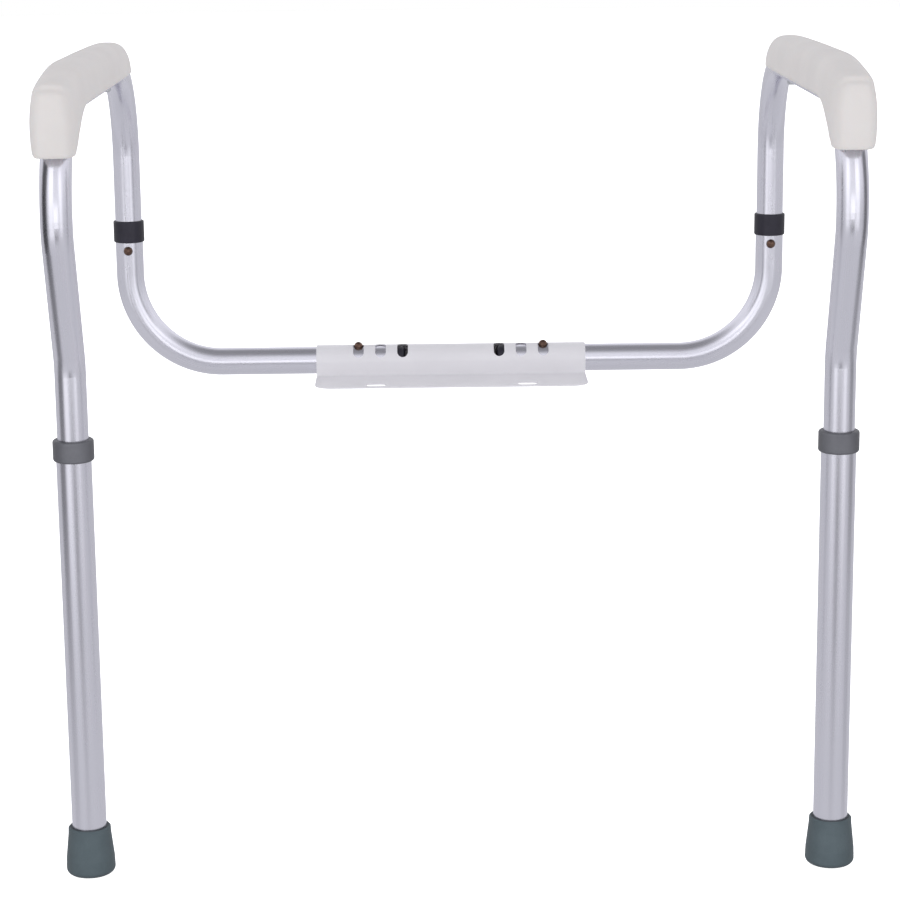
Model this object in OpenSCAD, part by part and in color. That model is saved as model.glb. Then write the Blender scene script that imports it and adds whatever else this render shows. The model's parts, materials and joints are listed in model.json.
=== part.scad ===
// Toilet safety frame. Two bent aluminium arm tubes with padded armrests join,
// through two L-shaped back tubes, a steel bracket that the seat bolts hold to
// the toilet bowl. Snap buttons set the width at the bracket and the height of
// the front legs, and lock each arm onto its back tube.
// The user faces -Y, +X is towards the right of the frame as seen from the front,
// and the origin is on the floor at the middle of the frame's outline.

/* [Overall size] */
// Distance between the axes of the two arm tubes at the widest setting
arm_spacing = 620; // [610:2:640]
// Height of the armrest tube's axis above the floor at the lowest leg setting
arm_height = 641; // [641:1:650]
// Distance from the front upright's axis to the rear upright's axis
arm_depth = 483; // [470:1:500]
// Height of the back tubes' axis, and so of the bracket, above the floor
back_height = 351.5; // [345:0.5:360]

/* [Tubes] */
// Outside diameter of the arm tube
arm_tube_d = 25.4; // [25.2:0.1:25.5]
// Wall of the arm tube
arm_tube_wall = 1.2; // [1.1:0.1:1.3]
// Outside diameter of the back tube
back_tube_d = 26.4; // [26.3:0.1:26.6]
// Outside diameter of the lower leg
leg_tube_d = 28.6; // [28.5:0.1:28.8]
// Wall of the back tube and of the lower leg
outer_tube_wall = 1.3; // [1.2:0.1:1.3]
// Bend radius of the armrest bends and of the back tube, at the tube's axis
bend_r = 87; // [85:1:88]
// Bend radius of the two soft bends that set the leg back
soft_bend_r = 50; // [48:1:51]
// Length of the slanted stretch between the two soft bends
slant_length = 96.25; // [93.75:1.25:97.5]
// Height at which the lower soft bend starts
soft_bend_height = 424; // [420:1:425]

/* [Bracket] */
// Length of the bracket along the back tubes
bracket_length = 262; // [258:1:270]
// Thickness of the bracket's sheet
bracket_sheet = 1.5; // [1.4:0.1:1.6]
// Distance from the tube axis to the front edge of the flange
flange_depth = 72; // [70:1:76]
// Distance between the middles of the two seat bolt slots
seat_slot_spacing = 145; // [140:1:150]
// Width of a seat bolt slot
seat_slot_w = 12.5; // [10:0.5:13]
// Length of a seat bolt slot, along the bracket
seat_slot_l = 21; // [18:1:24]
// Radius of the flange's front corners
flange_corner_r = 17; // [10:1:18]

/* [Snap buttons] */
// Distance between two button holes, on the bracket and on the legs
hole_pitch = 21.5; // [21:0.5:22]
// Number of button holes in a lower leg
leg_holes = 7; // [5:1:7]
// Diameter of a button's pin
pin_d = 8.4; // [8:0.1:8.6]
// Height of a released pin above the tube that carries it
pin_rise = 5.5; // [5:0.1:5.6]
// Distance from the middle of the frame to the innermost bracket hole
first_width_hole = 47; // [47:0.5:48]
// Tilt of the bracket's buttons forward from the vertical
width_button_tilt = 13; // [8:1:18]
// Height of the button that locks the arm to the back tube
arm_button_height = 462.8; // [461:0.2:464]
// Height of the button that locks the lower leg
leg_button_height = 206; // [205:1:208]

/* [Fittings] */
// Height of the black collar's underside
back_collar_height = 470.4; // [470:0.1:471]
// Height of the grey collar's underside
leg_collar_height = 353.6; // [353:0.1:354]
// Height of the rubber foot
foot_height = 41; // [39:1:44]
// Largest diameter of the rubber foot
foot_d = 40.8; // [40:0.2:44]
// Distance between the two screws that hold an armrest pad
screw_spacing = 210; // [190:5:230]

/* [Hidden] */
$fn = 64;
left = -1;
right = 1;

side_x = arm_spacing / 2;
arm_r = arm_tube_d / 2;
arm_ri = arm_r - arm_tube_wall;
back_r = back_tube_d / 2;
back_ri = back_r - outer_tube_wall;
leg_r = leg_tube_d / 2;

// The arm tube's rear end is swaged to a spigot that slides into the back tube
spigot_r = back_ri - 0.1;
spigot_ri = spigot_r - arm_tube_wall;
spigot_end = back_height + bend_r + 3;

// The bracket is one folded sheet: a flange that rolls up into a channel around the back tubes
channel_ri = back_r + 0.15;
channel_r = channel_ri + bracket_sheet;
weld_r = 2.5;

// Depths: the outline runs from the pads' front to the back of the bracket
pad_front = 14;
front_y = -round(arm_depth + channel_r - pad_front) / 2;
rear_y = front_y + arm_depth;

// The soft bends and the slanted stretch between them set the lower leg back
slant_sine = 0.352;
slant_cosine = 0.936;
soft_bend_angle = atan2(slant_sine, slant_cosine);
soft_bend_run = soft_bend_r * (1 - slant_cosine);
soft_bend_rise = soft_bend_r * slant_sine;
leg_y = front_y + slant_length * slant_sine + 2 * soft_bend_run;
soft_top = soft_bend_height + slant_length * slant_cosine + 2 * soft_bend_rise;

// Ends of the telescoping tubes
arm_tube_bottom = leg_button_height - 30;
leg_top = leg_collar_height + 13;
back_top = back_collar_height + 14;
foot_floor = 6;
washer_t = 2;
leg_bottom = foot_floor + washer_t;

// Buttons
width_button_x = first_width_hole + 2 * hole_pitch;
pin_hole_d = pin_d + 0.4;
width_slot_w = 10.4;
plug_head = 12.5;
back_tube_end = width_button_x - 2 * hole_pitch + 10;

// Snap button spring: a bent strip inside the tube
strip_t = 0.8;
strip_w = 8;
strip_gap = 2.9;
strip_run = 34;
strip_turn_r = 3;

// Armrest screws
screw_d = 4.2;
screw_head_d = 9;
screw_rise = arm_r + 10;
screw_ys = [front_y + arm_depth / 2 - screw_spacing / 2, front_y + arm_depth / 2 + screw_spacing / 2];

// ---- Placing ----

// Draws one side's parts at +X, mirrored for the left
module on_side(side) {
  mirror([side < 0 ? 1 : 0, 0, 0]) children();
}

// A button's own frame has +Z out along the pin and +X along the tube, towards the spring's turn
module at_width_button() {
  translate([width_button_x, rear_y, back_height])
    rotate([width_button_tilt, 0, 0])
      children();
}

module at_arm_button() {
  translate([side_x, rear_y, arm_button_height])
    rotate([0, -90, 90])
      children();
}

module at_leg_button() {
  translate([side_x, leg_y, leg_button_height])
    rotate([0, -90, -90])
      children();
}

// ---- Shared shapes ----

module ring2d(outer, inner) {
  difference() {
    circle(r = outer);
    circle(r = inner);
  }
}

// A slot outline along X with round ends, by overall length and width
module slot2d(length, width) {
  square([length - width, width], center = true);
  for (end = [-1, 1])
    translate([end * (length - width) / 2, 0])
      circle(d = width);
}

// A straight bar between two points of a flat outline
module bar2d(from, to, thickness) {
  run = to - from;
  translate(from)
    rotate(atan2(run[1], run[0]))
      translate([-thickness / 4, -thickness / 2])
        square([norm(run) + thickness / 2, thickness]);
}

// An upright piece of tube in the arm's plane
module upright(y, z_from, z_to, outer, inner) {
  translate([side_x, y, z_from])
    linear_extrude(z_to - z_from)
      ring2d(outer, inner);
}

// A bend in the arm's plane, with angles measured from +Y towards +Z
module arm_bend(y, z, radius, from_angle, sweep) {
  translate([side_x, y, z])
    rotate([90, 0, 90])
      rotate(from_angle)
        rotate_extrude(angle = sweep)
          translate([radius, 0])
            ring2d(arm_r, arm_ri);
}

// A soft bend, cut off square where the slanted stretch meets it
module soft_bend(y, z, from_angle) {
  size = soft_bend_r + 2 * arm_r;
  intersection() {
    arm_bend(y, z, soft_bend_r, from_angle, 45);
    translate([side_x, y, z])
      rotate([90, 0, 90])
        rotate(from_angle + soft_bend_angle)
          translate([0, -size, -arm_tube_d])
            cube([size, size, 2 * arm_tube_d]);
  }
}

// A ring of moulded plastic around two tubes, with rounded outer corners
module collar(outer, height, seat_r, seat_height, lip_r, corner) {
  rotate_extrude()
    difference() {
      union() {
        square([outer - corner, height]);
        translate([0, corner])
          square([outer, height - 2 * corner]);
        for (z = [corner, height - corner])
          translate([outer - corner, z])
            circle(r = corner);
      }
      translate([0, -1])
        square([lip_r, height + 2]);
      translate([0, -1])
        square([seat_r, seat_height + 1]);
    }
}

// The pin of a snap button, with the flange that keeps it in and the rivet through the strip
module snap_pin(outer, inner) {
  seat = inner - strip_gap;
  dome = outer + pin_rise - pin_d / 2;
  color("peru")
    rotate_extrude()
      union() {
        translate([0, seat])
          square([pin_d / 2, dome - seat]);
        intersection() {
          translate([0, dome])
            circle(d = pin_d);
          translate([0, dome])
            square(pin_d);
        }
        translate([0, seat])
          square([pin_d / 2 + 1, 1]);
        translate([0, seat - strip_t - 0.2])
          square([1.75, strip_t + 0.4]);
        translate([0, seat - strip_t - 1])
          square([2.8, 0.9]);
      }
}

// The strip spring of a snap button: it bears on the far wall and holds the pin out
module snap_strip(inner) {
  seat = inner - strip_gap - strip_t / 2;
  foot = -(inner - 1.6);
  turn = strip_turn_r - strip_t / 2;
  color("silver")
    difference() {
      rotate([90, 0, 0])
        linear_extrude(strip_w, center = true)
          union() {
            bar2d([-6, seat], [8, seat], strip_t);
            bar2d([8, seat], [strip_run, turn], strip_t);
            bar2d([-4, foot], [4, foot], strip_t);
            bar2d([4, foot], [strip_run, -turn], strip_t);
            translate([strip_run, 0])
              intersection() {
                ring2d(strip_turn_r, strip_turn_r - strip_t);
                translate([0, -strip_turn_r])
                  square([strip_turn_r, 2 * strip_turn_r]);
              }
          }
      translate([0, 0, seat - strip_t])
        cylinder(d = 3.7, h = 2 * strip_t);
    }
}

// ---- Bracket ----

module flange2d() {
  front = rear_y - flange_depth;
  depth = flange_depth - channel_r + bracket_sheet / 2;
  half = bracket_length / 2;
  translate([-half, front + flange_corner_r])
    square([bracket_length, depth - flange_corner_r]);
  translate([-half + flange_corner_r, front])
    square([bracket_length - 2 * flange_corner_r, depth]);
  for (end = [-1, 1])
    translate([end * (half - flange_corner_r), front + flange_corner_r])
      circle(r = flange_corner_r);
}

// One button hole of the channel, cut from just behind its top down to its front
module width_hole(x) {
  aim = 50;
  low = channel_r * sin(aim - 72);
  high = channel_r * sin(aim + 12);
  translate([x, rear_y, back_height])
    rotate([aim, 0, 0])
      translate([0, (low + high) / 2, 0])
        linear_extrude(2 * channel_r)
          rotate(90)
            slot2d(high - low, width_slot_w);
}

// The channel's section: rolled over the tubes, then straight down and welded to the flange
module channel2d() {
  difference() {
    union() {
      circle(r = channel_r);
      translate([-channel_r, -channel_r])
        square(channel_r);
      difference() {
        translate([-channel_r - weld_r, -channel_r])
          square([weld_r + bracket_sheet / 2, bracket_sheet + weld_r]);
        translate([-channel_r - weld_r, -channel_ri + weld_r])
          circle(r = weld_r);
      }
    }
    circle(r = channel_ri);
    translate([-channel_ri, -channel_ri])
      square(channel_ri);
  }
}

module bracket() {
  bottom = back_height - channel_r;
  color("gainsboro")
    difference() {
      union() {
        translate([-bracket_length / 2, rear_y, back_height])
          rotate([90, 0, 90])
            linear_extrude(bracket_length)
              channel2d();
        translate([0, 0, bottom])
          linear_extrude(bracket_sheet)
            flange2d();
      }
      for (side = [left, right], step = [0:2])
        width_hole(side * (first_width_hole + step * hole_pitch));
      for (side = [left, right])
        translate([side * seat_slot_spacing / 2, rear_y - flange_depth + 12, bottom - 1])
          linear_extrude(bracket_sheet + 2)
            slot2d(seat_slot_l, seat_slot_w);
    }
}

// ---- Back tube and its fittings ----

module back_tube(side) {
  color("lightsteelblue")
    on_side(side)
      difference() {
        union() {
          upright(rear_y, back_height + bend_r, back_top, back_r, back_ri);
          translate([side_x - bend_r, rear_y, back_height + bend_r])
            rotate([90, 0, 0])
              rotate(-90)
                rotate_extrude(angle = 90)
                  translate([bend_r, 0])
                    ring2d(back_r, back_ri);
          translate([back_tube_end, rear_y, back_height])
            rotate([0, 90, 0])
              linear_extrude(side_x - bend_r - back_tube_end)
                ring2d(back_r, back_ri);
        }
        at_arm_button()
          cylinder(d = pin_hole_d, h = 2 * back_r);
        at_width_button()
          cylinder(d = pin_hole_d, h = 2 * back_r);
      }
}

// The plug closes the back tube's inner end inside the bracket
module back_tube_plug(side) {
  round_r = 4;
  head_r = back_r - 0.1;
  color("black")
    on_side(side)
      translate([back_tube_end, rear_y, back_height])
        rotate([0, -90, 0])
          rotate_extrude()
            union() {
              square([head_r - round_r, plug_head]);
              square([head_r, plug_head - round_r]);
              intersection() {
                translate([head_r - round_r, plug_head - round_r])
                  circle(r = round_r);
                translate([head_r - round_r, plug_head - round_r])
                  square(round_r);
              }
              translate([0, -12])
                square([back_ri - 0.1, 12.5]);
            }
}

module back_collar(side) {
  color("darkslategray")
    on_side(side)
      translate([side_x, rear_y, back_collar_height])
        collar(14.7, 20.8, back_r + 0.05, back_top - back_collar_height, arm_r + 0.1, 1.3);
}

// ---- Arm tube and its fittings ----

// The swaged end: a short cone, then the spigot
module spigot() {
  cone_top = back_top + 3.5;
  cone_end = back_top + 1;
  translate([side_x, rear_y, 0])
    rotate_extrude()
      polygon([
        [spigot_ri, spigot_end], [spigot_r, spigot_end],
        [spigot_r, cone_end], [arm_r, cone_top],
        [arm_ri, cone_top], [spigot_ri, cone_end]
      ]);
}

module arm_tube(side) {
  low = arm_height - bend_r;
  slant_y = leg_y - soft_bend_run;
  slant_z = soft_bend_height + soft_bend_rise;
  color("lightsteelblue")
    on_side(side)
      difference() {
        union() {
          upright(leg_y, arm_tube_bottom, soft_bend_height, arm_r, arm_ri);
          soft_bend(leg_y - soft_bend_r, soft_bend_height, 0);
          translate([side_x, slant_y, slant_z])
            rotate([soft_bend_angle, 0, 0])
              linear_extrude(slant_length)
                ring2d(arm_r, arm_ri);
          soft_bend(front_y + soft_bend_r, soft_top, 180);
          upright(front_y, soft_top, low, arm_r, arm_ri);
          arm_bend(front_y + bend_r, low, bend_r, 90, 90);
          translate([side_x, front_y + bend_r, arm_height])
            rotate([-90, 0, 0])
              linear_extrude(arm_depth - 2 * bend_r)
                ring2d(arm_r, arm_ri);
          arm_bend(rear_y - bend_r, low, bend_r, 0, 90);
          upright(rear_y, back_top + 3.5, low, arm_r, arm_ri);
          spigot();
        }
        at_arm_button()
          cylinder(d = pin_hole_d, h = 2 * arm_r);
        at_leg_button()
          cylinder(d = pin_hole_d, h = 2 * arm_r);
        for (y = screw_ys)
          translate([side_x, y, arm_height])
            cylinder(d = screw_d + 0.6, h = 4 * arm_r, center = true);
      }
}

// One cross-section of the pad: two balls at its top corners and two at its lower edges
module pad_station(s) {
  top_ball = s[5];
  edge_ball = 2.4;
  for (x = [-1, 1]) {
    translate([side_x + x * (s[4] - top_ball), front_y + s[0], s[1] - top_ball])
      sphere(r = top_ball, $fn = 24);
    translate([side_x + x * (s[4] - 0.6 - edge_ball), front_y + s[2], s[3] + edge_ball])
      sphere(r = edge_ball, $fn = 16);
  }
}

// The pad: thick over the armrest, wrapped down over the front bend, with a rounded nose behind
module armrest_pad(side) {
  z = arm_height;
  // Top y and z, lower edge y and z, half width, top corner radius
  stations = [
    [-6, z - 23, 12, z - 34, 16.8, 8],
    [-1, z - 1, 24, z - 27, 18.6, 9],
    [22, z + 18, 48, z - 14, 19.4, 10],
    [64, z + 26, 78, z - 5, 19.8, 11],
    [140, z + 29, 140, z - 3, 20, 12],
    [345, z + 27, 345, z - 3, 19, 12],
    [404, z + 15, 412, z - 3, 15, 11]
  ];
  color("white")
    on_side(side)
      difference() {
        union() {
          for (i = [0:5])
            hull() {
              pad_station(stations[i]);
              pad_station(stations[i + 1]);
            }
        }
        pad_channel();
        for (y = screw_ys)
          translate([side_x, y, z])
            cylinder(d = screw_d + 0.1, h = screw_rise + 0.5);
      }
}

// The space in the pad for the tube, a little larger than the tube
module pad_channel() {
  room = arm_r + 0.1;
  low = arm_height - bend_r;
  for (bend = [[front_y + bend_r, 90], [rear_y - bend_r, 0]])
    translate([side_x, bend[0], low])
      rotate([90, 0, 90])
        rotate(bend[1])
          rotate_extrude(angle = 90)
            translate([bend_r, 0])
              circle(r = room);
  translate([side_x, front_y + bend_r, arm_height])
    rotate([-90, 0, 0])
      cylinder(r = room, h = arm_depth - 2 * bend_r);
}

// Two pan head screws, driven up through the tube into the pad
module armrest_screws(side) {
  head_z = arm_height - arm_r - 0.02;
  color("darkgray")
    on_side(side)
      for (y = screw_ys)
        translate([side_x, y, head_z])
          rotate_extrude()
            polygon([
              [0, -3.2], [screw_head_d / 2 - 1.6, -3.2], [screw_head_d / 2, -1.6],
              [screw_head_d / 2, 0], [screw_d / 2, 0],
              [screw_d / 2, screw_rise + arm_r - 2], [0, screw_rise + arm_r]
            ]);
}

// ---- Lower leg and its fittings ----

module lower_leg(side) {
  color("lightsteelblue")
    on_side(side)
      difference() {
        upright(leg_y, leg_bottom, leg_top, leg_r, leg_r - outer_tube_wall);
        for (step = [0:leg_holes - 1])
          translate([0, 0, step * hole_pitch])
            at_leg_button()
              cylinder(d = pin_hole_d, h = 2 * leg_r);
      }
}

module leg_collar(side) {
  color("dimgray")
    on_side(side)
      translate([side_x, leg_y, leg_collar_height])
        collar(16.7, 17.8, leg_r + 0.05, leg_top - leg_collar_height, arm_r + 0.1, 2.2);
}

// A rubber foot, flared towards the floor, with treads under it
module foot(side) {
  edge_r = 5;
  top_r = leg_r + 3.4;
  wide_r = foot_d / 2;
  color("slategray")
    on_side(side)
      translate([side_x, leg_y, 0])
        difference() {
          rotate_extrude()
            union() {
              square([wide_r - edge_r, edge_r]);
              translate([wide_r - edge_r, edge_r])
                circle(r = edge_r);
              polygon([
                [0, edge_r], [wide_r, edge_r], [wide_r - 0.3, 14],
                [top_r + 0.1, foot_height - 6], [top_r - 0.1, foot_height - 1.2],
                [top_r - 1.2, foot_height], [0, foot_height]
              ]);
            }
          translate([0, 0, foot_floor])
            cylinder(r = leg_r + 0.05, h = foot_height);
          for (tread = [5, 9.5, 14])
            translate([0, 0, -1])
              linear_extrude(2.2)
                ring2d(tread + 1.2, tread);
        }
}

// A steel disc that keeps the tube's end from cutting through the rubber
module foot_washer(side) {
  color("silver")
    on_side(side)
      translate([side_x, leg_y, foot_floor])
        cylinder(r = leg_r - 0.3, h = washer_t);
}

// ---- Snap buttons ----

module width_button(side) {
  on_side(side)
    at_width_button()
      snap_pin(back_r, back_ri);
}

module width_spring(side) {
  on_side(side)
    at_width_button()
      snap_strip(back_ri);
}

module arm_button(side) {
  on_side(side)
    at_arm_button()
      snap_pin(spigot_r, spigot_ri);
}

module arm_spring(side) {
  on_side(side)
    at_arm_button()
      snap_strip(spigot_ri);
}

module leg_button(side) {
  on_side(side)
    at_leg_button()
      snap_pin(arm_r, arm_ri);
}

module leg_spring(side) {
  on_side(side)
    at_leg_button()
      snap_strip(arm_ri);
}

// ---- The assembly ----

bracket();

back_tube(left);  // left_back_tube
back_tube_plug(left);  // left_back_tube_plug
back_collar(left);  // left_back_collar
arm_tube(left);  // left_arm_tube
armrest_pad(left);  // left_armrest_pad
armrest_screws(left);  // left_armrest_screws
lower_leg(left);  // left_lower_leg
leg_collar(left);  // left_leg_collar
foot(left);  // left_foot
foot_washer(left);  // left_foot_washer
width_button(left);  // left_width_button
width_spring(left);  // left_width_spring
arm_button(left);  // left_arm_button
arm_spring(left);  // left_arm_spring
leg_button(left);  // left_leg_button
leg_spring(left);  // left_leg_spring

back_tube(right);  // right_back_tube
back_tube_plug(right);  // right_back_tube_plug
back_collar(right);  // right_back_collar
arm_tube(right);  // right_arm_tube
armrest_pad(right);  // right_armrest_pad
armrest_screws(right);  // right_armrest_screws
lower_leg(right);  // right_lower_leg
leg_collar(right);  // right_leg_collar
foot(right);  // right_foot
foot_washer(right);  // right_foot_washer
width_button(right);  // right_width_button
width_spring(right);  // right_width_spring
arm_button(right);  // right_arm_button
arm_spring(right);  // right_arm_spring
leg_button(right);  // right_leg_button
leg_spring(right);  // right_leg_spring
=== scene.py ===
"""Toilet safety frame: the soft pads, finishes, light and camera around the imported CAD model."""

import json
import math

import bmesh
import bpy
from mathutils import Matrix, Vector

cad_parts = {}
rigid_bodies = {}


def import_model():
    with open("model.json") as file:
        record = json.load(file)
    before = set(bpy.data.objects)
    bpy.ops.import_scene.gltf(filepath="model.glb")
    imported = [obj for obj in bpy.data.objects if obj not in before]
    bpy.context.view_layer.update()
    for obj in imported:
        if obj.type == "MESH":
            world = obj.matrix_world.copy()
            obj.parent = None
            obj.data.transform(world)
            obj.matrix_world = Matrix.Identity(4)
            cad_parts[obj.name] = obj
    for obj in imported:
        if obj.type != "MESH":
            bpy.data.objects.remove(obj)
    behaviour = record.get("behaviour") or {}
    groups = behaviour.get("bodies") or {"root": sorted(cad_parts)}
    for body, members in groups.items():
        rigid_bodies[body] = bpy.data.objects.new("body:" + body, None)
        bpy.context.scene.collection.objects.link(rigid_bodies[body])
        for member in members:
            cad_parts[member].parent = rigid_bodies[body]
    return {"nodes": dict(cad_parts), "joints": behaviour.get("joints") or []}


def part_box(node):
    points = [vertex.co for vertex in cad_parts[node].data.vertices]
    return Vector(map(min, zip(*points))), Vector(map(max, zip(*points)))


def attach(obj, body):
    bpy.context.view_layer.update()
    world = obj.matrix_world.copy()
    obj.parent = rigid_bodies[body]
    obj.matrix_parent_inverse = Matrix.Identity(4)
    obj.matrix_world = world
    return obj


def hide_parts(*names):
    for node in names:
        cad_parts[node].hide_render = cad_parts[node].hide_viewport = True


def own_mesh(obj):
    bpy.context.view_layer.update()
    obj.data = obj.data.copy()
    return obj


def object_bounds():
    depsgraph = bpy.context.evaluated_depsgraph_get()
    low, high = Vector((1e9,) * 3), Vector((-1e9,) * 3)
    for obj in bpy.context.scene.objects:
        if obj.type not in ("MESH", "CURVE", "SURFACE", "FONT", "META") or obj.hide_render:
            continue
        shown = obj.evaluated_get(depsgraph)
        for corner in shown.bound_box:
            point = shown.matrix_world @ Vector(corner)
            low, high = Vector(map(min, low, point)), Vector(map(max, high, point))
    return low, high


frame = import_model()
cad_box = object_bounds()
nodes = frame["nodes"]
scene = bpy.context.scene
MM = 0.001
SIDES = {"left": -1, "right": 1}


# ---- Measures of the frame ----

arm_low, arm_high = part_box("right_arm_tube")
leg_low, leg_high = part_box("right_lower_leg")
back_low, back_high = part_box("right_back_tube")
ARM_R = (arm_high.x - arm_low.x) / 2
SIDE_X = (arm_high.x + arm_low.x) / 2
FRONT_Y = arm_low.y + ARM_R
REAR_Y = arm_high.y - ARM_R
ARM_Z = arm_high.z - ARM_R
LEG_Y = (leg_low.y + leg_high.y) / 2
LEG_R = (leg_high.x - leg_low.x) / 2
BACK_AXIS_Z = back_low.z + (back_high.y - back_low.y) / 2

# The tubes' bends, as the CAD model has them
BEND_R = 87 * MM
SOFT_BEND_R = 50 * MM
SLANT_LENGTH = 96.25 * MM
SLANT = math.atan2(0.352, 0.936)
SOFT_BEND_Z = 424 * MM
SOFT_TOP_Z = SOFT_BEND_Z + 2 * SOFT_BEND_R * math.sin(SLANT) + SLANT_LENGTH * math.cos(SLANT)
LOW_Z = ARM_Z - BEND_R


# ---- Node trees ----

class Tree:
    """Short calls for building a material's nodes."""

    def __init__(self, name):
        self.material = bpy.data.materials.new(name)
        self.material.use_nodes = True
        self.nodes = self.material.node_tree.nodes
        self.links = self.material.node_tree.links
        self.shader = self.nodes["Principled BSDF"]

    def add(self, kind, **settings):
        """A new node with these settings."""
        node = self.nodes.new(kind)
        for key, value in settings.items():
            setattr(node, key, value)
        return node

    def feed(self, value, socket):
        """Links a node's output to the socket, or sets a plain value."""
        if isinstance(value, bpy.types.NodeSocket):
            self.links.new(value, socket)
        else:
            socket.default_value = value

    def math(self, operation, *values):
        node = self.add("ShaderNodeMath", operation=operation)
        for value, socket in zip(values, node.inputs):
            self.feed(value, socket)
        return node.outputs[0]

    def position(self):
        """Object position, split into x, y and z in metres."""
        coordinates = self.add("ShaderNodeTexCoord")
        split = self.add("ShaderNodeSeparateXYZ")
        self.links.new(coordinates.outputs["Object"], split.inputs[0])
        return split.outputs

    def place(self):
        """Object position as one vector."""
        return self.vector(*self.position())

    def vector(self, x, y, z):
        node = self.add("ShaderNodeCombineXYZ")
        for value, socket in zip((x, y, z), node.inputs):
            self.feed(value, socket)
        return node.outputs[0]

    def noise(self, vector, scale, detail=3.0, roughness=0.55):
        node = self.add("ShaderNodeTexNoise")
        self.feed(vector, node.inputs["Vector"])
        node.inputs["Scale"].default_value = scale
        node.inputs["Detail"].default_value = detail
        node.inputs["Roughness"].default_value = roughness
        return node.outputs["Fac"]

    def fit(self, value, low, high, to_low, to_high):
        """Maps low..high to to_low..to_high, and clamps it there."""
        node = self.add("ShaderNodeMapRange")
        self.feed(value, node.inputs["Value"])
        limits = {"From Min": low, "From Max": high, "To Min": to_low, "To Max": to_high}
        for key, number in limits.items():
            node.inputs[key].default_value = number
        return node.outputs[0]

    def colours(self, factor, first, second):
        """The first colour at factor 0, the second at 1."""
        node = self.add("ShaderNodeMix", data_type="RGBA")
        self.feed(factor, node.inputs["Factor"])
        for colour, socket in ((first, node.inputs[6]), (second, node.inputs[7])):
            self.feed((*colour, 1) if isinstance(colour, tuple) else colour, socket)
        return node.outputs[2]

    def bump(self, height, distance, strength=1.0, normal=None):
        node = self.add("ShaderNodeBump")
        self.feed(height, node.inputs["Height"])
        node.inputs["Distance"].default_value = distance
        node.inputs["Strength"].default_value = strength
        if normal is not None:
            self.links.new(normal, node.inputs["Normal"])
        return node.outputs[0]

    def set(self, **inputs):
        """Feeds the shader's inputs and gives back the material."""
        for key, value in inputs.items():
            self.feed(value, self.shader.inputs[key.replace("_", " ")])
        return self.material


def select(tree, test, yes, no):
    """yes where test is 1, no where it is 0."""
    other = tree.math("SUBTRACT", 1.0, test)
    return tree.math("ADD", tree.math("MULTIPLY", test, yes), tree.math("MULTIPLY", other, no))


def distance(tree, a, b):
    """Length of the flat vector (a, b)."""
    return tree.math("SQRT", tree.math("ADD", tree.math("MULTIPLY", a, a), tree.math("MULTIPLY", b, b)))


def patches(tree, place, scale, first, second):
    """A colour that drifts between the two in soft patches."""
    patch = tree.noise(place, scale, 3)
    return patch, tree.colours(tree.fit(patch, 0.3, 0.7, 0.0, 1.0), first, second)


# ---- Finishes ----

def tube_material(name, section, base, roughness):
    """Satin anodised aluminium: draw lines run along the tube, so they vary almost only round its section."""
    tree = Tree(name)
    across, out, along = section(tree)
    lines = tree.noise(tree.vector(across, out, tree.math("MULTIPLY", along, 0.004)), 1500, 2)
    bands = tree.noise(tree.vector(across, out, tree.math("MULTIPLY", along, 0.02)), 300, 2)
    cloud = tree.noise(tree.vector(across, out, along), 14, 2)
    tint = tree.colours(cloud, base, tuple(c * 0.96 for c in base))
    tint = tree.colours(tree.fit(lines, 0.3, 0.7, 0.0, 0.06), tint, (0.6, 0.6, 0.65))
    rough = tree.math("ADD", tree.fit(bands, 0.3, 0.7, roughness - 0.01, roughness + 0.01),
                      tree.fit(cloud, 0.3, 0.7, -0.015, 0.015))
    return tree.set(Base_Color=tint, Metallic=1.0, Roughness=rough,
                    Normal=tree.bump(lines, 0.00001, 0.05))


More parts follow.
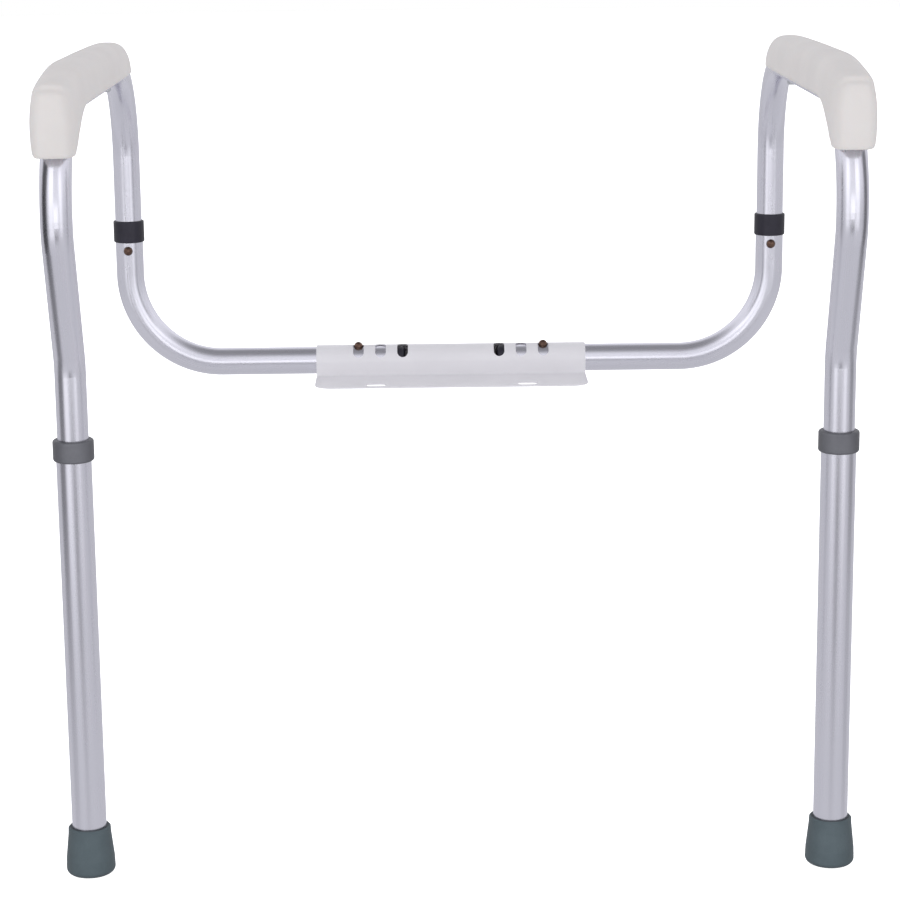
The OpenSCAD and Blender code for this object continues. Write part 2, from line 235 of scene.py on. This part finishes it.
def arm_section(tree):
    """Across and outwards from the arm tube's axis, whichever straight or bend the point is in."""
    x, y, z = tree.position()
    m = tree.math
    across = m("SUBTRACT", m("ABSOLUTE", x), SIDE_X)

    def radius(centre_y, centre_z):
        return distance(tree, m("SUBTRACT", y, centre_y), m("SUBTRACT", z, centre_z))

    def turned(a, b):
        """a along the slant's cosine plus b along its sine."""
        return m("ADD", m("MULTIPLY", a, math.cos(SLANT)), m("MULTIPLY", b, math.sin(SLANT)))

    low_centre = LEG_Y - SOFT_BEND_R
    top_centre = FRONT_Y + SOFT_BEND_R
    ahead, above = m("SUBTRACT", y, low_centre), m("SUBTRACT", z, SOFT_BEND_Z)
    slant_out = m("SUBTRACT", turned(ahead, above), SOFT_BEND_R)
    past_low = m("GREATER_THAN", turned(above, m("SUBTRACT", low_centre, y)), 0.0)
    before_top = m("GREATER_THAN", turned(m("SUBTRACT", SOFT_TOP_Z, z), m("SUBTRACT", y, top_centre)), 0.0)
    past_slant = m("MULTIPLY", past_low, m("SUBTRACT", 1.0, before_top))
    rear = m("GREATER_THAN", y, REAR_Y - BEND_R)
    rear_upright = m("MULTIPLY", rear, m("LESS_THAN", z, LOW_Z))

    out = m("SUBTRACT", y, LEG_Y)
    for inside, value in (
        (m("GREATER_THAN", z, SOFT_BEND_Z), m("SUBTRACT", radius(low_centre, SOFT_BEND_Z), SOFT_BEND_R)),
        (past_low, slant_out),
        (past_slant, m("SUBTRACT", SOFT_BEND_R, radius(top_centre, SOFT_TOP_Z))),
        (m("GREATER_THAN", z, SOFT_TOP_Z), m("SUBTRACT", y, FRONT_Y)),
        (m("GREATER_THAN", z, LOW_Z), m("SUBTRACT", BEND_R, radius(FRONT_Y + BEND_R, LOW_Z))),
        (m("GREATER_THAN", y, FRONT_Y + BEND_R), m("SUBTRACT", ARM_Z, z)),
        (rear, m("SUBTRACT", BEND_R, radius(REAR_Y - BEND_R, LOW_Z))),
        (rear_upright, m("SUBTRACT", REAR_Y, y)),
    ):
        out = select(tree, inside, value, out)
    return across, out, m("ADD", y, z)


def back_section(tree):
    """The same for the L-shaped back tube, whose bend lies in the XZ plane."""
    x, y, z = tree.position()
    m = tree.math
    side = m("ABSOLUTE", x)
    centre_x, centre_z = SIDE_X - BEND_R, BACK_AXIS_Z + BEND_R
    out = m("SUBTRACT", distance(tree, m("SUBTRACT", side, centre_x), m("SUBTRACT", z, centre_z)), BEND_R)
    out = select(tree, m("GREATER_THAN", z, centre_z), m("SUBTRACT", side, SIDE_X), out)
    out = select(tree, m("LESS_THAN", side, centre_x), m("SUBTRACT", BACK_AXIS_Z, z), out)
    return m("SUBTRACT", y, REAR_Y), out, m("ADD", side, z)


def leg_section(tree):
    """The same for the straight lower leg."""
    x, y, z = tree.position()
    return tree.math("SUBTRACT", tree.math("ABSOLUTE", x), SIDE_X), tree.math("SUBTRACT", y, LEG_Y), z


def pad_material():
    """Moulded polyurethane skin: a fine pebble, a coarser grain and soft, slightly warm mottling."""
    tree = Tree("pad_skin")
    place = tree.place()
    pebble = tree.noise(place, 900, 2, 0.5)
    grain = tree.noise(place, 260, 3)
    _, tint = patches(tree, place, 22, (0.825, 0.795, 0.765), (0.785, 0.755, 0.727))
    normal = tree.bump(pebble, 0.0002, 0.35)
    normal = tree.bump(grain, 0.0005, 0.25, normal)
    tree.shader.inputs["Subsurface Radius"].default_value = (0.006, 0.004, 0.003)
    return tree.set(Base_Color=tint, Roughness=tree.fit(grain, 0.3, 0.7, 0.46, 0.58), Specular_IOR_Level=0.4,
                    Subsurface_Weight=0.12, Subsurface_Scale=1.0, Normal=normal)


def plastic_material(name, dark, light, roughness, edge=0.65, grain_scale=700, bump=0.0002, rim_shade=None):
    """Moulded plastic or rubber: fine texture, uneven colour, and painted shade that darkens it where the
    surface turns away from the view and, if a rim mask is given, at that rim.
    """
    tree = Tree(name)
    place = tree.place()
    grain = tree.noise(place, grain_scale, 2)
    patch, tint = patches(tree, place, 60, dark, light)
    # Painted shade: towards 40 % of the dark colour where the surface turns away from the view, by up to
    # edge, and fully on the rim mask
    turned = tree.add("ShaderNodeLayerWeight")
    turned.inputs["Blend"].default_value = 0.5
    painted_shade = tree.fit(turned.outputs["Facing"], 0.05, 0.5, 0.0, edge)
    if rim_shade is not None:
        painted_shade = tree.math("MAXIMUM", painted_shade, rim_shade(tree))
    tint = tree.colours(painted_shade, tint, tuple(c * 0.4 for c in dark))
    rough = tree.fit(patch, 0.3, 0.7, roughness - 0.05, roughness + 0.05)
    return tree.set(Base_Color=tint, Roughness=rough, Specular_IOR_Level=0.35,
                    Normal=tree.bump(grain, bump, 0.4))


def foot_rim_shade(tree):
    """Mask of painted shade where the foot meets the tube: 1 on the flat rim round the leg, 0 further out."""
    across, out, _ = leg_section(tree)
    return tree.fit(distance(tree, across, out), LEG_R + 1.7 * MM, LEG_R + 2.4 * MM, 1.0, 0.0)


def paint_material():
    """Semi-gloss powder coat with its orange-peel skin."""
    tree = Tree("powder_coat")
    place = tree.place()
    peel = tree.noise(place, 420, 2, 0.4)
    patch, tint = patches(tree, place, 35, (0.868, 0.856, 0.88), (0.838, 0.826, 0.85))
    return tree.set(Base_Color=tint, Roughness=tree.fit(patch, 0.3, 0.7, 0.30, 0.38),
                    Normal=tree.bump(peel, 0.00015, 0.35), Coat_Weight=0.25, Coat_Roughness=0.2)


def metal_material(name, base, other, roughness):
    """Bare or plated small metal parts, with patchy colour and a fine scratchiness."""
    tree = Tree(name)
    place = tree.place()
    patch = tree.noise(place, 500, 3)
    tint = tree.colours(tree.fit(patch, 0.35, 0.65, 0.0, 1.0), base, other)
    fine = tree.noise(place, 2500, 2)
    return tree.set(Base_Color=tint, Metallic=1.0, Normal=tree.bump(fine, 0.00005, 0.4),
                    Roughness=tree.fit(patch, 0.3, 0.7, roughness - 0.06, roughness + 0.06))


ALUMINIUM = (0.74, 0.735, 0.80)
arm_aluminium = tube_material("arm_aluminium", arm_section, ALUMINIUM, 0.27)
back_aluminium = tube_material("back_aluminium", back_section, ALUMINIUM, 0.27)
leg_aluminium = tube_material("leg_aluminium", leg_section, ALUMINIUM, 0.27)
pad_skin = pad_material()
# Painted shade: edge sets how dark these plastics turn where the surface faces away from the view
grey_plastic = plastic_material("grey_plastic", (0.148, 0.150, 0.168), (0.178, 0.181, 0.198), 0.42)
black_plastic = plastic_material("black_plastic", (0.018, 0.016, 0.028), (0.03, 0.028, 0.042), 0.4)
# The foot also gets painted shade on its flat rim round the leg, where it meets the tube
foot_rubber = plastic_material("foot_rubber", (0.092, 0.125, 0.138), (0.112, 0.147, 0.162), 0.55,
                               edge=0.4, grain_scale=500, bump=0.0003, rim_shade=foot_rim_shade)
powder_coat = paint_material()
bronze = metal_material("bronze", (0.20, 0.125, 0.09), (0.09, 0.055, 0.045), 0.30)
spring_steel = metal_material("spring_steel", (0.55, 0.55, 0.54), (0.42, 0.42, 0.43), 0.35)
zinc = metal_material("zinc_plate", (0.62, 0.63, 0.65), (0.5, 0.51, 0.53), 0.38)

FINISH = {
    "back_tube": back_aluminium, "back_tube_plug": black_plastic, "back_collar": black_plastic,
    "arm_tube": arm_aluminium, "armrest_pad": pad_skin, "armrest_screws": zinc,
    "lower_leg": leg_aluminium, "leg_collar": grey_plastic, "foot": foot_rubber, "foot_washer": zinc,
    "width_button": bronze, "arm_button": bronze, "leg_button": bronze,
    "width_spring": spring_steel, "arm_spring": spring_steel, "leg_spring": spring_steel,
    "bracket": powder_coat,
}


def finish_with(thing, material):
    """Gives a piece one material."""
    thing.data.materials.clear()
    thing.data.materials.append(material)


def mesh_object(name, mesh):
    """Puts a bmesh into the scene as an object."""
    data = bpy.data.meshes.new(name)
    mesh.to_mesh(data)
    mesh.free()
    thing = bpy.data.objects.new(name, data)
    scene.collection.objects.link(thing)
    return thing


for name, node in nodes.items():
    before, _, piece = name.partition("_")
    finish_with(node, FINISH[piece if before in SIDES else name])


# ---- Armrest pads ----

# The pad's channel is a little larger than the tube
PAD_ROOM = ARM_R + 0.2 * MM

# Points along the outside and along the channel of one cross-section
OUTER, INNER = 48, 20

# The pinched crease where the armrest turns down: where the crest reaches this height above the tube's axis
CREASE_RISE = 15.8
CREASE_DEPTH = 3.4 * MM
CREASE_WIDTH = 3.0

# The crease fades out this far down the pad's sides, as a share of its height
CREASE_FADE = 0.35

# Rounding of the pad's lower front end and of its rear nose, which also sinks and narrows a little
LOWER_ROUND = 4.5 * MM
NOSE_ROUND = 1.6 * MM
NOSE_DROP = 0.35 * MM
NOSE_PINCH = 0.9 * MM

# Spacing of the pad's cross-sections in mm: close along the front bend and the nose, wide between them
CLOSE_STEP, WIDE_STEP = 1.6, 6.5
BEND_RUN, NOSE_RUN = 85, 45

# Crest y and z, lower edge y and z, half width, squareness, all in mm from the front top of the tube's axis
PAD_STATIONS = [
    (-13.2, -34.0, 10.5, -34.0, 17.2, 3.8),
    (-14.4, -24.0, 14.5, -29.5, 18.1, 3.8),
    (-14.5, -6.0, 20.0, -24.0, 18.7, 3.8),
    (-13.6, 8.0, 29.0, -18.0, 19.0, 3.4),
    (-7.8, 18.0, 42.0, -11.0, 19.1, 3.2),
    (11.0, 21.6, 56.0, -6.0, 19.3, 3.3),
    (42.0, 24.6, 72.0, -3.4, 19.7, 3.5),
    (72.0, 27.8, 88.0, -3.0, 20.0, 3.6),
    (100.0, 29.5, 106.0, -3.0, 20.2, 3.6),
    (150.0, 29.7, 150.0, -3.0, 20.2, 3.5),
    (250.0, 29.3, 250.0, -3.0, 20.1, 3.4),
    (340.0, 28.4, 340.0, -3.0, 19.9, 3.2),
    (374.0, 27.0, 376.0, -3.0, 19.2, 3.0),
    (397.0, 23.4, 399.0, -3.2, 17.6, 2.8),
    (411.0, 18.0, 412.0, -3.6, 15.6, 2.6),
    (419.0, 12.8, 418.0, -4.4, 14.2, 2.6),
]


def between(p, q, r, s, f):
    """The smooth curve from q at f = 0 to r at f = 1, with p before and s after them."""
    slope, curve, twist = r - p, 2 * p - 5 * q + 4 * r - s, 3 * q - p - 3 * r + s
    return 0.5 * (2 * q + slope * f + curve * f * f + twist * f ** 3)


def spline(rows, step, samples=600):
    """Rows along a smooth curve through the given ones, step(place, length) mm apart."""
    last = len(rows) - 1

    def at(t):
        i = min(int(t), last - 1)
        near = (rows[max(i - 1, 0)], rows[i], rows[i + 1], rows[min(i + 2, last)])
        return [between(*four, t - i) for four in zip(*near)]

    fine = [at(last * k / samples) for k in range(samples + 1)]
    lengths = [0.0]
    for one, other in zip(fine, fine[1:]):
        lengths.append(lengths[-1] + (math.dist(one[:2], other[:2]) + math.dist(one[2:4], other[2:4])) / 2)
    out, k, goal = [], 0, 0.0
    while goal < lengths[-1]:
        while lengths[k + 1] < goal:
            k += 1
        f = (goal - lengths[k]) / max(lengths[k + 1] - lengths[k], 1e-9)
        out.append([p + (q - p) * f for p, q in zip(fine[k], fine[k + 1])])
        goal += step(goal, lengths[-1])
    return out + [list(rows[-1])]


def beyond_axis(y, z):
    """Distance outwards from the arm tube's axis, in the arm's plane."""
    if z <= LOW_Z:
        return FRONT_Y - y if y < 0 else y - REAR_Y
    for centre_y, here in ((FRONT_Y + BEND_R, y < FRONT_Y + BEND_R), (REAR_Y - BEND_R, y > REAR_Y - BEND_R)):
        if here:
            return math.hypot(y - centre_y, z - LOW_Z) - BEND_R
    return z - ARM_Z


def root(low, high, value):
    """Where value turns positive between low and high."""
    for _ in range(40):
        mid = (low + high) / 2
        if value(mid) > 0:
            high = mid
        else:
            low = mid
    return (low + high) / 2


def outer_profile(height, half, power):
    """The pad's outside from its left lower edge over the top to the right one, as (across, up) pairs."""
    points = []
    for k in range(OUTER + 1):
        t = math.pi * k / OUTER
        c, s = math.cos(t), math.sin(t)
        across = -half * math.copysign(abs(c) ** (2 / power), c)
        points.append((across, height * abs(s) ** (2 / (power * 0.8))))
    return points


def inset(points, amount):
    """Moves a profile inwards along its normals."""
    out = []
    for k, (a, b) in enumerate(points):
        p, q = points[max(k - 1, 0)], points[min(k + 1, len(points) - 1)]
        run, rise = q[0] - p[0], q[1] - p[1]
        size = math.hypot(run, rise) or 1
        out.append((a + rise / size * amount, b - run / size * amount))
    return out


def pad_section(row, shrink=0.0, shift=(0.0, 0.0), groove=0.0):
    """One closed loop of the right side's pad: its outside, then back through its channel."""
    crest_y, crest_z, edge_y, edge_z, half, power = row
    crest = Vector((0, FRONT_Y + crest_y * MM + shift[0], ARM_Z + crest_z * MM + shift[1]))
    edge = Vector((0, FRONT_Y + edge_y * MM + shift[0], ARM_Z + edge_z * MM + shift[1]))
    up = crest - edge
    height = up.length
    up.normalize()

    def point(across, rise):
        return Vector((SIDE_X + across, edge.y + up.y * rise, edge.z + up.z * rise))

    def outwards(rise):
        spot = point(0, rise)
        return beyond_axis(spot.y, spot.z)

    outer = outer_profile(height, half * MM, power)
    if shrink:
        outer = inset(outer, shrink)
    loop = [point(across, rise - groove * max(0.0, rise / height - CREASE_FADE)) for across, rise in outer]
    axis = root(-BEND_R / 3, BEND_R * 2 / 3, outwards)
    lip = math.pi / 2
    if abs(axis) < PAD_ROOM:
        lip = math.acos(max(-0.95, min(0.95, -axis / (PAD_ROOM * 1.02))))
    for k in range(INNER + 1):
        turn = lip - 2 * lip * k / INNER
        reach = root(0.2 * PAD_ROOM, 4 * PAD_ROOM, lambda r: math.hypot(
            r * math.sin(turn), outwards(axis + r * math.cos(turn))) - PAD_ROOM)
        loop.append(point(reach * math.sin(turn), axis + reach * math.cos(turn)))
    return loop


def pad_loops():
    """The pad's cross-sections from its rounded lower front end, over the bend and back to its nose."""
    def step(place, length):
        return CLOSE_STEP if place < BEND_RUN or place > length - NOSE_RUN else WIDE_STEP

    rows = spline(PAD_STATIONS, step)
    travelled, crease_at = [0.0], None
    for one, other in zip(rows, rows[1:]):
        travelled.append(travelled[-1] + math.dist(one[:2], other[:2]))
        if crease_at is None and other[1] > CREASE_RISE:
            crease_at = travelled[-1]
    loops = []
    for degrees in (80, 58, 36, 16):
        a = math.radians(degrees)
        shift = (0, -LOWER_ROUND * math.sin(a))
        loops.append(pad_section(rows[0], 0.8 * LOWER_ROUND * (1 - math.cos(a)), shift))
    for row, place in zip(rows, travelled):
        groove = CREASE_DEPTH * math.exp(-((place - crease_at) / CREASE_WIDTH) ** 2)
        loops.append(pad_section(row, groove=groove))
    for degrees in (25, 50, 75):
        a = math.radians(degrees)
        shift = (NOSE_ROUND * math.sin(a), -NOSE_DROP * math.sin(a))
        loops.append(pad_section(rows[-1], NOSE_PINCH * (1 - math.cos(a)), shift))
    return loops


def close_end(mesh, ring):
    """Faces between the outside and the channel of an end section."""
    outer, inner = ring[:OUTER + 1], ring[OUTER + 1:][::-1]
    i = j = 0
    while i < OUTER or j < INNER:
        if j >= INNER or (i < OUTER and (i + 1) / len(outer) <= (j + 1) / len(inner)):
            mesh.faces.new((outer[i], outer[i + 1], inner[j]))
            i += 1
        else:
            mesh.faces.new((outer[i], inner[j + 1], inner[j]))
            j += 1


def armrest_pad(name, side):
    """The moulded pad: a closed skin lofted through its sections, round the tube's channel."""
    mesh = bmesh.new()
    rings = [[mesh.verts.new((p.x * side, p.y, p.z)) for p in loop] for loop in pad_loops()]
    for one, other in zip(rings, rings[1:]):
        for k in range(len(one)):
            n = (k + 1) % len(one)
            mesh.faces.new((one[k], one[n], other[n], other[k]))
    close_end(mesh, rings[0])
    close_end(mesh, rings[-1])
    bmesh.ops.recalc_face_normals(mesh, faces=mesh.faces)
    for face in mesh.faces:
        face.smooth = True
    pad = mesh_object(f"{name}_pad_skin", mesh)
    finish_with(pad, pad_skin)
    smooth = pad.modifiers.new("smooth", "SUBSURF")
    smooth.levels = smooth.render_levels = 1
    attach(pad, f"{name}_side")
    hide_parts(f"{name}_armrest_pad")


for side_name, side in SIDES.items():
    armrest_pad(side_name, side)


# ---- Snap button springs ----

def strip_spring(name, press):
    """A copy of the strip spring in spring steel, carried by the press joint's parent body, in place of the
    imported one.
    """
    node = nodes[name]
    strip = bpy.data.objects.new(name.replace("spring", "strip"), node.data.copy())
    scene.collection.objects.link(strip)
    strip.matrix_world = node.matrix_world.copy()
    finish_with(strip, spring_steel)
    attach(strip, press["parent"])
    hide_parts(name)
    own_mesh(strip)


for joint in frame["joints"]:
    if joint["name"].endswith("_press"):
        strip_spring(joint["name"].replace("press", "spring"), joint)


# ---- Floor, light and camera ----

def floor():
    """A plain floor lifted to the background's white. The metal reflects the studio instead of it."""
    mesh = bmesh.new()
    bmesh.ops.create_circle(mesh, cap_ends=True, segments=96, radius=14)
    thing = mesh_object("floor", mesh)
    thing.location.z = cad_box[0].z - 0.2 * MM
    tree = Tree("floor_paint")
    soft = tree.noise(tree.place(), 0.8, 2)
    path = tree.add("ShaderNodeLightPath")
    tree.set(Base_Color=tree.colours(soft, (0.92, 0.92, 0.92), (0.9, 0.9, 0.9)), Roughness=0.9,
             Emission_Color=(1, 1, 1, 1), Emission_Strength=path.outputs["Is Camera Ray"])
    finish_with(thing, tree.material)
    thing.visible_glossy = False


def aim(thing, place, target):
    """Stands a thing at a place, facing the target."""
    thing.location = place
    thing.rotation_euler = (Vector(target) - Vector(place)).to_track_quat("-Z", "Y").to_euler()


def softbox(name, place, target, width, height, radiance):
    """A rectangular studio light of an even radiance."""
    data = bpy.data.lights.new(name, "AREA")
    data.shape = "RECTANGLE"
    data.size, data.size_y = width, height
    data.energy = radiance * math.pi * width * height
    thing = bpy.data.objects.new(name, data)
    scene.collection.objects.link(thing)
    aim(thing, place, target)


def flag(name, place, target, width, height, stops):
    """A dark card that only reflections see. It draws the tubes' darker bands. Stops are (height, grey)."""
    mesh = bmesh.new()
    bmesh.ops.create_grid(mesh, x_segments=1, y_segments=1, size=0.5)
    bmesh.ops.scale(mesh, vec=(width, height, 1), verts=mesh.verts)
    card = mesh_object(name, mesh)
    aim(card, place, target)
    tree = Tree(name + "_cloth")
    ramp = tree.add("ShaderNodeValToRGB")
    fill_ramp(ramp.color_ramp, [((z - place[2]) / height + 0.5, grey) for z, grey in stops])
    tree.feed(tree.fit(tree.position()[1], -height / 2, height / 2, 0.0, 1.0), ramp.inputs[0])
    finish_with(card, tree.set(Base_Color=(0, 0, 0, 1), Roughness=1.0, Specular_IOR_Level=0.0,
                               Emission_Color=ramp.outputs[0], Emission_Strength=1.0))
    card.visible_camera = card.visible_diffuse = card.visible_shadow = card.visible_transmission = False


def fill_ramp(band, stops):
    """Slightly bluish greys at (place, grey) along a colour ramp."""
    for place, grey in stops[:-2]:
        band.elements.new(place)
    for element, (place, grey) in zip(band.elements, stops):
        element.position = place
        element.color = (grey * 0.985, grey * 0.985, grey * 1.03, 1)


# Greys of the studio from below (0) over the horizon (0.5) to overhead (1)
LIT_GREYS = [(0.0, 0.8), (0.5, 0.84), (0.8, 0.74), (1.0, 0.62)]
MIRRORED_GREYS = [
    (0.0, 0.68), (0.25, 0.74), (0.37, 0.66), (0.42, 0.66), (0.47, 0.72), (0.61, 0.92),
    (0.74, 1.02), (0.84, 0.92), (0.91, 0.55), (0.96, 0.34), (1.0, 0.30),
]


def surroundings():
    """White for the camera, and a grey studio that is darker overhead for everything else."""
    world = bpy.data.worlds.new("studio")
    scene.world = world
    world.use_nodes = True
    made, links = world.node_tree.nodes, world.node_tree.links
    made.clear()

    def ramp(stops):
        node = made.new("ShaderNodeValToRGB")
        fill_ramp(node.color_ramp, stops)
        links.new(height.outputs["Result"], node.inputs[0])
        return node.outputs[0]

    coordinates = made.new("ShaderNodeTexCoord")
    split = made.new("ShaderNodeSeparateXYZ")
    links.new(coordinates.outputs["Generated"], split.inputs[0])
    height = made.new("ShaderNodeMapRange")
    height.inputs["From Min"].default_value = -1
    links.new(split.outputs["Z"], height.inputs["Value"])
    path = made.new("ShaderNodeLightPath")
    shown = made.new("ShaderNodeBackground")
    lit = made.new("ShaderNodeBackground")
    mirrored = made.new("ShaderNodeBackground")
    links.new(ramp(LIT_GREYS), lit.inputs["Color"])
    links.new(ramp(MIRRORED_GREYS), mirrored.inputs["Color"])
    indirect = made.new("ShaderNodeMixShader")
    links.new(path.outputs["Is Glossy Ray"], indirect.inputs[0])
    links.new(lit.outputs[0], indirect.inputs[1])
    links.new(mirrored.outputs[0], indirect.inputs[2])
    shown.inputs["Color"].default_value = (1, 1, 1, 1)
    both = made.new("ShaderNodeMixShader")
    links.new(path.outputs["Is Camera Ray"], both.inputs[0])
    links.new(indirect.outputs[0], both.inputs[1])
    links.new(shown.outputs[0], both.inputs[2])
    out = made.new("ShaderNodeOutputWorld")
    links.new(both.outputs[0], out.inputs[0])


def camera():
    """Stands in front of the frame, a little above the armrests, looking down at it."""
    back, height, aside = 2034 * MM, 811.4 * MM, -22.1 * MM
    pitch, yaw, roll = math.radians(12.555), math.radians(0.471), math.radians(0.6)
    data = bpy.data.cameras.new("camera")
    data.sensor_width = 36
    data.lens = 102.87
    thing = bpy.data.objects.new("camera", data)
    scene.collection.objects.link(thing)
    forward = Vector((math.sin(yaw) * math.cos(pitch), math.cos(yaw) * math.cos(pitch), -math.sin(pitch)))
    level = Vector((math.cos(yaw), -math.sin(yaw), 0))
    down = forward.cross(level)
    right = level * math.cos(roll) + down * math.sin(roll)
    up = right.cross(forward)
    thing.matrix_world = Matrix((right, up, -forward)).transposed().to_4x4()
    thing.location = (aside, LEG_Y - back, height)
    scene.camera = thing


def near_flag(name, side, ahead, width, dark):
    """A tall card outside an upright. It darkens the tube's outer edge, more so higher up."""
    gap, middle, height = 0.19, 0.4, 0.9
    place = (side * (SIDE_X + gap), FRONT_Y - ahead, middle)
    stops = [
        (-0.05, 0.62), (0.08, 0.55), (0.18, 0.36 + dark), (0.28, 0.2 + dark),
        (0.38, 0.2 + dark), (0.46, dark), (0.85, dark),
    ]
    flag(name, place, (0, place[1], place[2]), width, height, stops)


def lights():
    """Two tall softboxes and a low one in front, with cards between them for the tubes' dark bands."""
    softbox("left_softbox", (-1.15, -1.75, 1.05), (-0.1, 0, 0.85), 1.0, 2.5, 0.58)
    softbox("right_softbox", (1.3, -2.0, 1.05), (0.1, 0, 0.85), 0.9, 2.5, 0.58)
    softbox("front_softbox", (0, -2.6, 0.5), (0, 0, 0.5), 1.4, 0.8, 0.88)
    near_flag("left_flag", SIDES["left"], 0.04, 0.155, 0.05)
    near_flag("right_flag", SIDES["right"], -0.01, 0.12, 0.18)
    flag("centre_flag", (-0.02, -2.35, -0.2), (-0.02, 0, -0.2), 0.88, 0.7,
         [(-0.55, 0.66), (-0.44, 0.55), (-0.35, 0.03), (-0.13, 0.03), (-0.03, 0.5), (0.1, 0.8)])


floor()
surroundings()
lights()
camera()
scene.view_settings.view_transform = "Standard"
scene.view_settings.look = "None"
